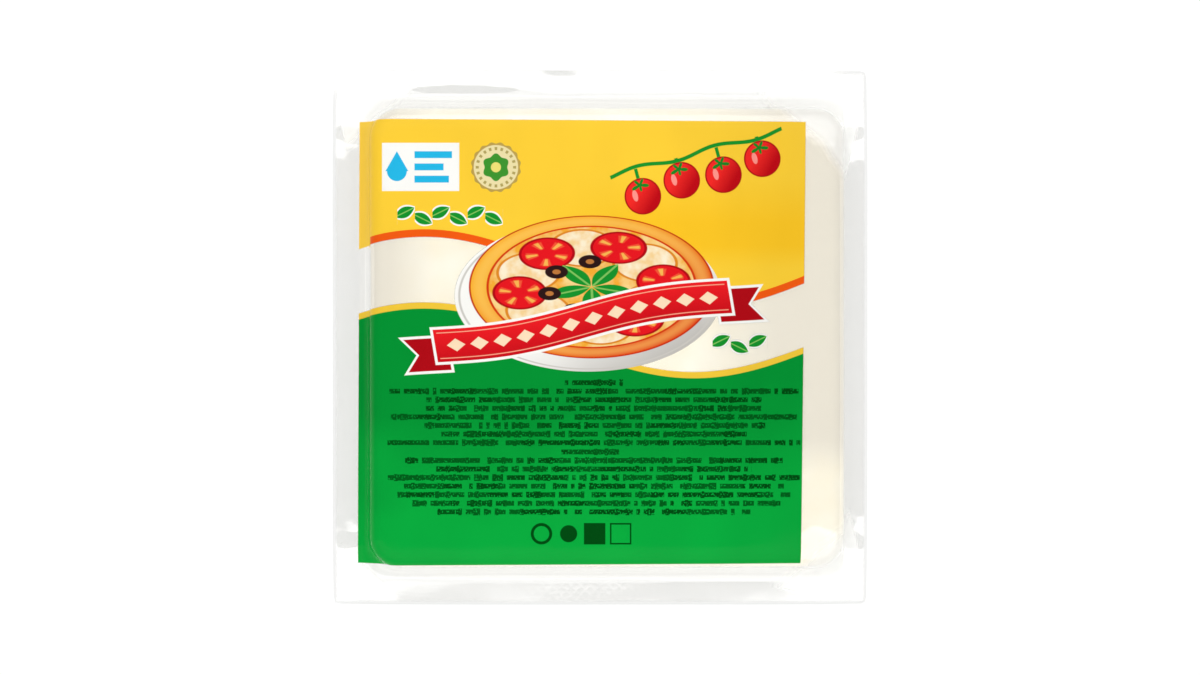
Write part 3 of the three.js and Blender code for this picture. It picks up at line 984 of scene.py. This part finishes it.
def clear_film(finish, place):
    """Clear film: see-through with a slight tint, hazier the further it is drawn down from the top
    and cloudy at the corners, partly as a painted reflection of glare, with a gloss that grows at a
    slant, and grey along its cut edge."""
    _, y, height = finish.parts(place)
    roughness = (y + RIM_SIDE / 2).remap(*GLOSS_TURN, FRONT_SEAL_GLOSS, FILM_GLOSS)
    uneven = finish.noise(place, FILM_PATCH, SOFT_DETAIL) * FILM_RELIEF
    normal = finish.bump(knurl(finish, place) + waves(finish, place) + uneven)
    clear = finish.add("BsdfTransparent", sockets={"Color": FILM_TINT})
    haze = finish.add("BsdfDiffuse", sockets={"Color": HAZE_COLOUR})
    sockets = {"Color": PURE_WHITE, "Roughness": roughness, "Normal": normal}
    gloss = finish.add("BsdfGlossy", sockets=sockets)
    drawn = height.remap(HAZE_START, WALL_TOP, TOP_HAZE, FLARE_HAZE)
    haziness = drawn & height.remap(*POCKET_LEVELS, POCKET_HAZE, FLARE_HAZE)
    # the corner clouds are partly haze and partly painted glare
    body = finish.blend(haziness | corner_haze_and_glare(finish, place), clear, haze)
    film = finish.blend(reflected(finish), body, gloss)
    edge = finish.add("BsdfTransparent", sockets={"Color": CUT_TINT})
    return finish.blend(cut_line(finish, place), film, edge)


def lit_through(finish, surface):
    """The same surface, which lets most of the light through to what is behind it."""
    shadow = finish.add("LightPath", output="Is Shadow Ray")
    through = finish.add("BsdfTransparent", sockets={"Color": FILM_SHADOW})
    return finish.blend(shadow, surface, through)


def clear_film_finish():
    """Clear film alone."""
    finish = Finish("clear_film")
    return finish.made(lit_through(finish, clear_film(finish, finish.place())))


def printed_film_finish():
    """Clear film with the print laid on it. Where there is ink, the film is a glossy solid, whose
    tone is a little uneven at random, and darker towards the right as painted shade."""
    inks = Print("printed_film")
    lay_print(inks)
    place = inks.place()
    tone = inks.noise(inks.seen_from(place, (0, 0), scale=(1, INK_STRETCH)), INK_PATCH)
    x, _, _ = inks.parts(place)
    # the tone is multiplied by painted shade, darker towards the right
    tone = tone.remap(*INK_TURN, *INK_DEPTH) * x.remap(*INK_SHADE_SPAN, 1.0, INK_SHADE_DEPTH)
    relief = inks.noise(place, INK_RELIEF_PATCH, SOFT_DETAIL) * INK_RELIEF
    sockets = {"Base Color": inks.scaled(inks.colour, tone), "Normal": inks.bump(relief)}
    sockets |= {"Roughness": INK_GLOSS, "Specular IOR Level": INK_SPECULAR}
    solid = inks.add("BsdfPrincipled", sockets=sockets)
    surface = inks.blend(inks.cover, clear_film(inks, place), solid)
    return inks.made(lit_through(inks, surface))


CHEESE_PALE = colour(254, 250, 237)
CHEESE_DEEP = colour(249, 241, 221)
# painted shade, for the weaker light towards the cheese's left and right
CHEESE_PAINTED_SHADE = colour(232, 226, 213)
CHEESE_PATCH, CHEESE_DETAIL, CHEESE_TURN = 14.0, 3.0, (0.35, 0.65)
FIBRE_SIZE, FIBRE_STRETCH, FIBRE_TURN = 2.4, 4.0, (0.3, 0.7)
FIBRE_SHARE = 0.15
# where the painted shade lies: towards the left, and towards the right but not at the front right,
# which is left lighter as painted light
PAINTED_SHADE_LEFT, PAINTED_SHADE_RIGHT, PAINTED_SHADE_FRONT = (-55.0, -43.0), (24.0, 46.0), (-36.0, -27.0)
CHEESE_ROUGHNESS, CHEESE_SPECULAR = 0.5, 0.2
CHEESE_GRAIN, CHEESE_RELIEF = 5.0, 0.03


def cheese_finish():
    """Moist ivory cheese: two close tones in soft patches with fine fibres, and a darker one towards
    its left and right as painted shade, except at the front right, which stays lighter as painted
    light."""
    finish = Finish("cheese")
    place = finish.place()
    patches = finish.noise(place, CHEESE_PATCH, CHEESE_DETAIL).remap(*CHEESE_TURN)
    drawn = finish.seen_from(place, (0, 0), scale=(FIBRE_STRETCH, 1.0))
    fibres = finish.noise(drawn, FIBRE_SIZE).remap(*FIBRE_TURN)
    mottle = patches * (1 - FIBRE_SHARE) + fibres * FIBRE_SHARE
    paste = finish.mix(mottle, CHEESE_DEEP, CHEESE_PALE)
    x, y, _ = finish.parts(place)
    # painted shade: darker towards the left and right, left out at the front right as painted light
    skin = (x.remap(*PAINTED_SHADE_RIGHT) * y.remap(*PAINTED_SHADE_FRONT)) | x.remap(*PAINTED_SHADE_LEFT, 1.0, 0.0)
    normal = finish.bump(finish.noise(place, CHEESE_GRAIN) * CHEESE_RELIEF)
    sockets = {"Base Color": finish.mix(skin, paste, CHEESE_PAINTED_SHADE), "Normal": normal}
    sockets |= {"Roughness": CHEESE_ROUGHNESS, "Specular IOR Level": CHEESE_SPECULAR}
    return finish.made(finish.add("BsdfPrincipled", sockets=sockets))


# ---- The pieces ----


def steps(count, first=0):
    """Even shares up to 1, from step `first` of `count` on."""
    return np.arange(first, count + 1) / count


FILM_WAY = way_round(arc_steps=28, side_steps=84)
CHEESE_WAY = way_round(arc_steps=16, side_steps=40)
RIM_TOP = RIM_LEVEL + RIM_THICKNESS

# How many rings of points each stretch of a surface has.
TOP_RINGS, CHEESE_TOP_RINGS, BASE_RINGS, EDGE_RINGS, SWEEP_RINGS, SEAL_RINGS = 26, 16, 12, 8, 12, 8


def make_top_film(way, materials):
    """From the middle of the top over its edge, down the flare and out to the cut edge."""
    outer = np.concatenate((
        top_face(way, steps(TOP_RINGS, 1)[:-1]),
        top_edge(way, steps(EDGE_RINGS)),
        sweep(way, steps(SWEEP_RINGS, 1), WALL_TOP, RIM_TOP),
        seal(way, steps(SEAL_RINGS, 1), RIM_TOP),
    ))
    piece, lining = film_piece("top_film", outer, TOP_FILM_THICKNESS, materials)
    add_plan_map(piece, lining)
    lay_out_print(piece, lining)
    return piece


def make_bottom_film(way, materials):
    """From the middle of the base over its edge, up the wall, along the flare and out to the cut
    edge. It looks down, so it goes round the other way."""
    outer = np.concatenate((
        base_face(way, steps(BASE_RINGS, 1)[:-1]),
        base_edge(way, steps(EDGE_RINGS)),
        sweep(way, steps(SWEEP_RINGS), LOWER_SWEEP_START, RIM_LEVEL),
        seal(way, steps(SEAL_RINGS, 1), RIM_LEVEL),
    ))
    return film_piece("bottom_film", outer[:, ::-1], BASE_FILM_THICKNESS, materials)[0]


def make_cheese(way, materials):
    """The slab, just inside its films."""
    under_top = TOP_FILM_THICKNESS + FILM_TO_CHEESE
    over_base = BASE_FILM_THICKNESS + FILM_TO_CHEESE
    rings = np.concatenate((
        top_face(way, steps(CHEESE_TOP_RINGS, 1)[:-1], under_top),
        top_edge(way, steps(EDGE_RINGS), under_top),
        base_edge(way, steps(EDGE_RINGS)[::-1], over_base),
        base_face(way, steps(BASE_RINGS, 1)[:-1][::-1], over_base),
    ))
    return ring_mesh("cheese", rings, materials)[0]


clear = clear_film_finish()
pieces = {
    "printed_film": make_top_film(FILM_WAY, [printed_film_finish(), clear]),
    "clear_film": make_bottom_film(FILM_WAY, [clear]),
    "cheese": make_cheese(CHEESE_WAY, [cheese_finish()]),
}
for slot, piece in pieces.items():
    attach(piece, "root")
    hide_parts("sealed_pack")

# ---- Floor, light and camera ----

FLOOR_SIZE = 6.0
FLOOR_GREY = (0.12, 0.12, 0.12, 1.0)
FLOOR_GLOW, FLOOR_ROUGHNESS, FLOOR_SPECULAR = 0.88, 0.7, 0.1

CAMERA_HEIGHT, LENS, SENSOR = 0.646, 71.2, 36.0

# Brightness of the two banks of light and of the gap between them, where the camera is. The gap
# ends at a direction's share to the front or back, a bank gets brighter at its share upwards.
GAP, BANK, TOP_BANK = 0.03, 0.9, 2.2
GAP_END, TOP_BANK_START = (0.15, 0.165), (0.3, 0.5)


def make_floor():
    """A white floor, lit a little from within, so that it stays white in the pack's shadow."""
    finish = Finish("floor")
    sockets = {"Base Color": FLOOR_GREY, "Roughness": FLOOR_ROUGHNESS}
    sockets |= {"Specular IOR Level": FLOOR_SPECULAR, "Emission Color": PURE_WHITE}
    sockets["Emission Strength"] = FLOOR_GLOW
    surface = finish.add("BsdfPrincipled", sockets=sockets)
    half = FLOOR_SIZE / 2
    mesh = bpy.data.meshes.new("floor")
    corners = [(-half, -half, 0), (half, -half, 0), (half, half, 0), (-half, half, 0)]
    mesh.from_pydata(corners, [], [(0, 1, 2, 3)])
    mesh.materials.append(finish.made(surface))
    floor = bpy.data.objects.new("floor", mesh)
    bpy.context.scene.collection.objects.link(floor)


def make_lights():
    """Two banks of soft light, one behind the pack and one before it, both brighter overhead."""
    world = bpy.data.worlds.new("light")
    world.use_nodes = True
    sky = Nodes(world.node_tree)
    _, y, z = sky.parts(sky.add("TexCoord", output="Generated"))
    light = abs(y).remap(*GAP_END) * z.remap(*TOP_BANK_START, BANK, TOP_BANK) + GAP
    background = sky.add("Background", sockets={"Strength": light})
    sky.add("OutputWorld", sockets={"Surface": background})
    bpy.context.scene.world = world


def make_camera():
    """A camera above the middle of the pack's frame, looking straight down."""
    data = bpy.data.cameras.new("camera")
    data.lens = LENS
    data.sensor_width = SENSOR
    camera = bpy.data.objects.new("camera", data)
    camera.location = (0, 0, CAMERA_HEIGHT)
    bpy.context.scene.collection.objects.link(camera)
    bpy.context.scene.camera = camera


make_floor()
make_lights()
make_camera()
bpy.context.scene.view_settings.view_transform = "Standard"
